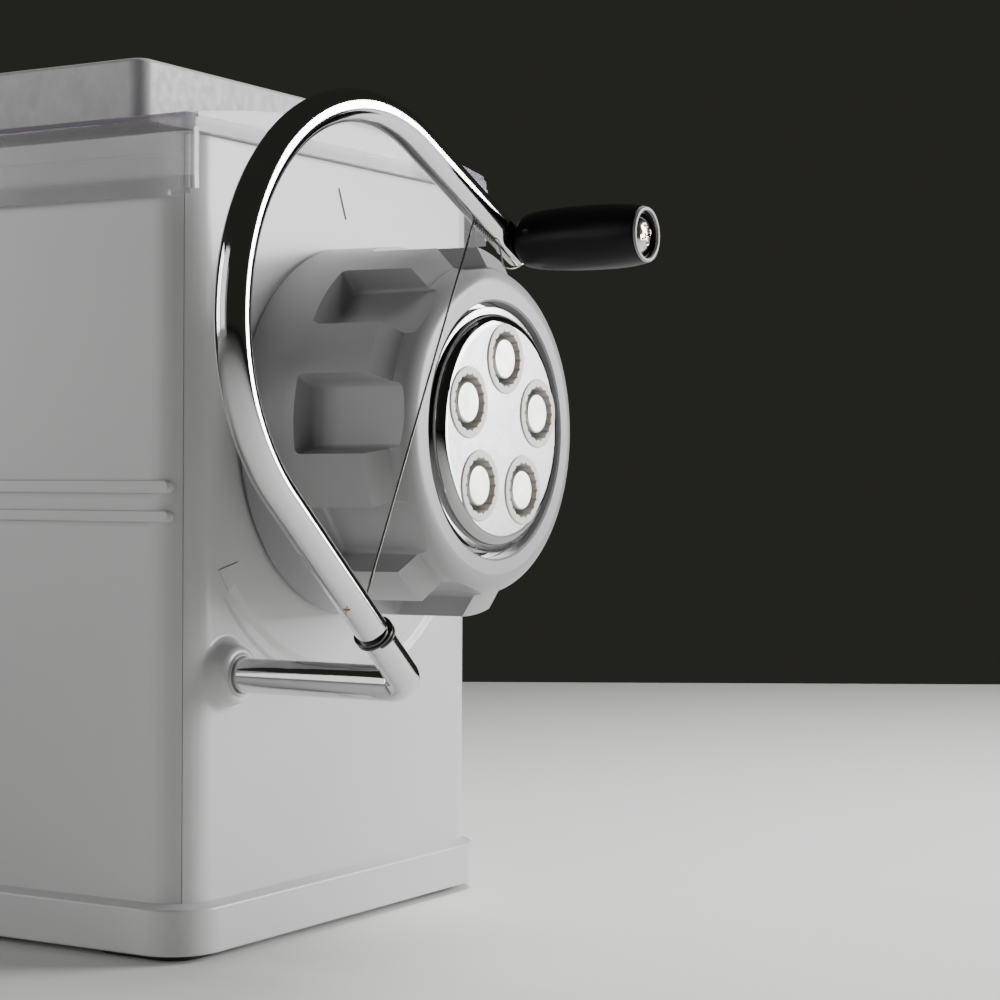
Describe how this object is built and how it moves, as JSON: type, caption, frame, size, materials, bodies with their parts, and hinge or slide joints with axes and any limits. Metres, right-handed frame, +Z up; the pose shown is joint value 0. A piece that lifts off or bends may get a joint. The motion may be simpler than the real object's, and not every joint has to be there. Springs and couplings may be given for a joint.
{
  "type": "pasta extruder",
  "caption": "Hand-cranked pasta extruder with a clear hopper, a ring nut over a multi-hole die and a bowed crank with a cutting wire.",
  "frame": {"origin": "centre of the plinth's underside, 2 mm above the surface that the rubber feet rest on", "axes": "+Z up, -Y out of the front panel along the die's axis, +X to the right seen from the front"},
  "size_m": [0.2088, 0.3057, 0.2368],
  "materials": {
    "housing_plastic": "glossy light grey",
    "nut_plastic": "satin light grey",
    "lid_plastic": "slightly frosted light grey",
    "barrel_plastic": "satin food-grade off-white",
    "clear_plastic": "clear moulded plastic with a faint violet tint",
    "insert_plastic": "milky translucent",
    "gear_plastic": "natural acetal",
    "knob_plastic": "black, lightly polished",
    "collar_plastic": "glossy light grey",
    "bush_brass": "turned",
    "chrome": "polished",
    "pin_steel": "turned",
    "wire_steel": "drawn wire",
    "shaft_steel": "ground",
    "plate_steel": "zinc plated",
    "screw_steel": "zinc plated",
    "rubber": "matt black"
  },
  "bodies": {
    "housing": {"body_shell": "housing_plastic", "front_cover": "housing_plastic", "plinth": "housing_plastic", "base_screws": "screw_steel", "cover_screws": "screw_steel", "nose_screws": "screw_steel", "barrel": "barrel_plastic", "die_seal": "rubber", "die_plate": "chrome", "die_insert_1": "insert_plastic", "die_insert_2": "insert_plastic", "die_insert_3": "insert_plastic", "die_insert_4": "insert_plastic", "die_insert_5": "insert_plastic", "core_pin_1": "pin_steel", "core_pin_2": "pin_steel", "core_pin_3": "pin_steel", "core_pin_4": "pin_steel", "core_pin_5": "pin_steel", "gearbox_front_plate": "plate_steel", "gearbox_rear_plate": "plate_steel", "gearbox_pillars": "plate_steel", "gearbox_screws": "screw_steel", "crank_mid_bush": "bush_brass", "crank_rear_bush": "bush_brass", "auger_mid_bush": "bush_brass", "auger_rear_bush": "bush_brass", "idler_pin": "shaft_steel", "crank_bush": "collar_plastic", "foot_front_left": "rubber", "foot_front_right": "rubber", "foot_rear_left": "rubber", "foot_rear_right": "rubber"},
    "crank": {"crank_arm": "chrome", "arm_ring": "pin_steel", "cutter_wire": "wire_steel", "crank_shaft": "shaft_steel", "crank_pinion": "shaft_steel", "crank_drive_pin": "shaft_steel", "crank_clip": "shaft_steel", "knob_spindle": "pin_steel", "knob_screw": "pin_steel"},
    "knob": {"knob_grip": "knob_plastic", "knob_end_ring": "pin_steel"},
    "idler": {"idler_gear": "gear_plastic"},
    "auger": {"auger": "barrel_plastic", "auger_shaft": "shaft_steel", "auger_gear": "gear_plastic", "auger_drive_pin": "shaft_steel", "auger_clip": "shaft_steel", "thrust_washer": "bush_brass"},
    "ring_nut": {"ring_nut": "nut_plastic"},
    "hopper": {"hopper_tray": "clear_plastic"},
    "lid": {"lid": "lid_plastic"}
  },
  "joints": [
    {"name": "crank_turn", "type": "hinge", "parent": "housing", "child": "crank", "pos_m": [-0.0552, -0.16, 0.07211], "axis": [0, 1, 0], "continuous": true},
    {"name": "knob_turn", "type": "hinge", "parent": "crank", "child": "knob", "pos_m": [-0.0026, -0.1805, 0.1882], "axis": [0, 1, 0], "continuous": true},
    {"name": "idler_turn", "type": "hinge", "parent": "housing", "child": "idler", "pos_m": [-0.02912, 0.0255, 0.0884], "axis": [0, 1, 0], "continuous": true},
    {"name": "auger_turn", "type": "hinge", "parent": "housing", "child": "auger", "pos_m": [0, -0.0425, 0.1374], "axis": [0, 1, 0], "continuous": true},
    {"name": "ring_nut_turn", "type": "hinge", "parent": "housing", "child": "ring_nut", "pos_m": [0, -0.1275, 0.1374], "axis": [0, -1, 0], "range_deg": [0, 125]},
    {"name": "hopper_lift", "type": "slide", "parent": "housing", "child": "hopper", "axis": [0, 0, 1], "range_m": [0, 0.04]},
    {"name": "lid_lift", "type": "slide", "parent": "hopper", "child": "lid", "axis": [0, 0, 1], "range_m": [0, 0.06]}
  ],
  "couplings": [
    {"joint": "idler_turn", "follows": "crank_turn", "ratio": -0.57692},
    {"joint": "auger_turn", "follows": "crank_turn", "ratio": 0.3}
  ]
}
